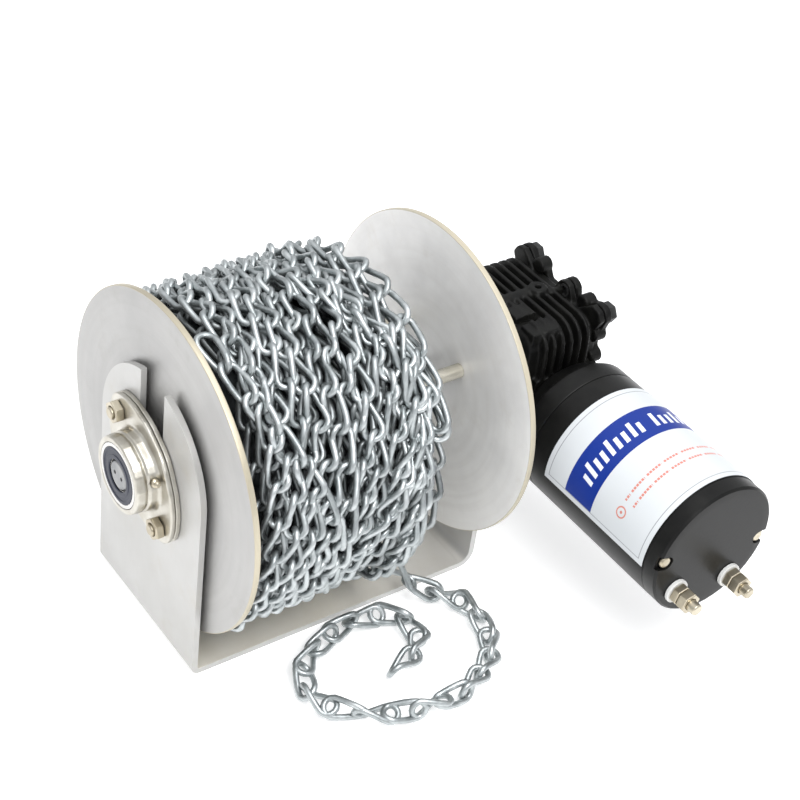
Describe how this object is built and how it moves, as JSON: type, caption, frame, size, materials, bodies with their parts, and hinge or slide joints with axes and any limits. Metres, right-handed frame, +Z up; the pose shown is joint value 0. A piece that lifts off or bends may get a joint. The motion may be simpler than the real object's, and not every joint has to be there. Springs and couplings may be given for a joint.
{
  "type": "anchor windlass",
  "caption": "Electric windlass: a chain drum between the uprights of a bent plate bracket, carried by a flanged bearing and turned by a motor through a finned worm gearbox.",
  "frame": {"origin": "middle of the underside of the bracket's base plate", "axes": "+X along the drum's axle from the outer bearing to the gearbox, -Y towards the motor and the side that the chain leaves by, +Z up"},
  "size_m": [0.3574, 0.335, 0.2365],
  "materials": {
    "plate_steel": "satin, rolled plate",
    "disc_metal": "turned and polished",
    "housing_steel": "satin, machined",
    "machined_steel": "ground",
    "zinc_plated": "zinc plated",
    "galvanised_chain": "bright zinc plated",
    "seal_rubber": "matt",
    "bearing_bronze": "machined",
    "black_casting": "black paint, satin",
    "can_paint": "black paint, gloss",
    "dark_fasteners": "black oxide",
    "rotor_iron": "plain",
    "commutator_copper": "machined",
    "magnet_ferrite": "matt",
    "brush_plate_fibre": "matt",
    "brush_carbon": "matt",
    "insulator_plastic": "matt",
    "label_film": "printed film"
  },
  "bodies": {
    "frame": {"bracket": "plate_steel", "bearing_housing": "housing_steel", "housing_back_plate": "housing_steel", "bearing_outer_ring": "machined_steel", "bearing_seal": "seal_rubber", "housing_stud_upper": "zinc_plated", "housing_stud_lower": "zinc_plated", "housing_nut_upper": "zinc_plated", "housing_nut_lower": "zinc_plated", "grease_nipple": "zinc_plated", "gearbox_housing": "black_casting", "gearbox_cover": "black_casting", "cover_bolt_1": "dark_fasteners", "cover_bolt_2": "dark_fasteners", "cover_bolt_3": "dark_fasteners", "cover_bolt_4": "dark_fasteners", "gearbox_screw_1": "machined_steel", "gearbox_screw_2": "machined_steel", "gearbox_screw_3": "machined_steel", "gearbox_screw_4": "machined_steel", "oil_plug": "dark_fasteners", "output_seal": "seal_rubber", "output_bush_left": "bearing_bronze", "output_bush_right": "bearing_bronze", "worm_bearing_front": "machined_steel", "worm_bearing_rear": "machined_steel", "motor_can": "can_paint", "motor_front_bell": "black_casting", "motor_end_cap": "black_casting", "magnet_upper": "magnet_ferrite", "magnet_lower": "magnet_ferrite", "brush_plate": "brush_plate_fibre", "brush_upper": "brush_carbon", "brush_lower": "brush_carbon", "through_bolt_1": "zinc_plated", "through_bolt_2": "zinc_plated", "terminal_stud_left": "zinc_plated", "terminal_stud_right": "zinc_plated", "terminal_insulator_left": "insulator_plastic", "terminal_insulator_right": "insulator_plastic", "terminal_nut_inner_left": "zinc_plated", "terminal_nut_inner_right": "zinc_plated", "terminal_nut_outer_left": "zinc_plated", "terminal_nut_outer_right": "zinc_plated", "motor_label": "label_film", "chain_tail": "galvanised_chain"},
    "drum": {"drum_shaft": "machined_steel", "drum_rod_1": "machined_steel", "drum_rod_2": "machined_steel", "drum_rod_3": "machined_steel", "drum_disc_left": "disc_metal", "drum_disc_right": "disc_metal", "wound_chain": "galvanised_chain", "worm_wheel": "bearing_bronze", "shaft_key": "machined_steel", "bearing_inner_ring": "machined_steel", "ball_cage": "machined_steel"},
    "rotor": {"worm_shaft": "machined_steel", "armature": "rotor_iron", "commutator": "commutator_copper"}
  },
  "joints": [
    {"name": "drum_spin", "type": "hinge", "parent": "frame", "child": "drum", "pos_m": [0, 0, 0.1265], "axis": [1, 0, 0], "continuous": true},
    {"name": "rotor_spin", "type": "hinge", "parent": "frame", "child": "rotor", "pos_m": [0.1775, 0, 0.0985], "axis": [0, 1, 0], "continuous": true}
  ],
  "couplings": [
    {"joint": "rotor_spin", "follows": "drum_spin", "ratio": -30}
  ]
}
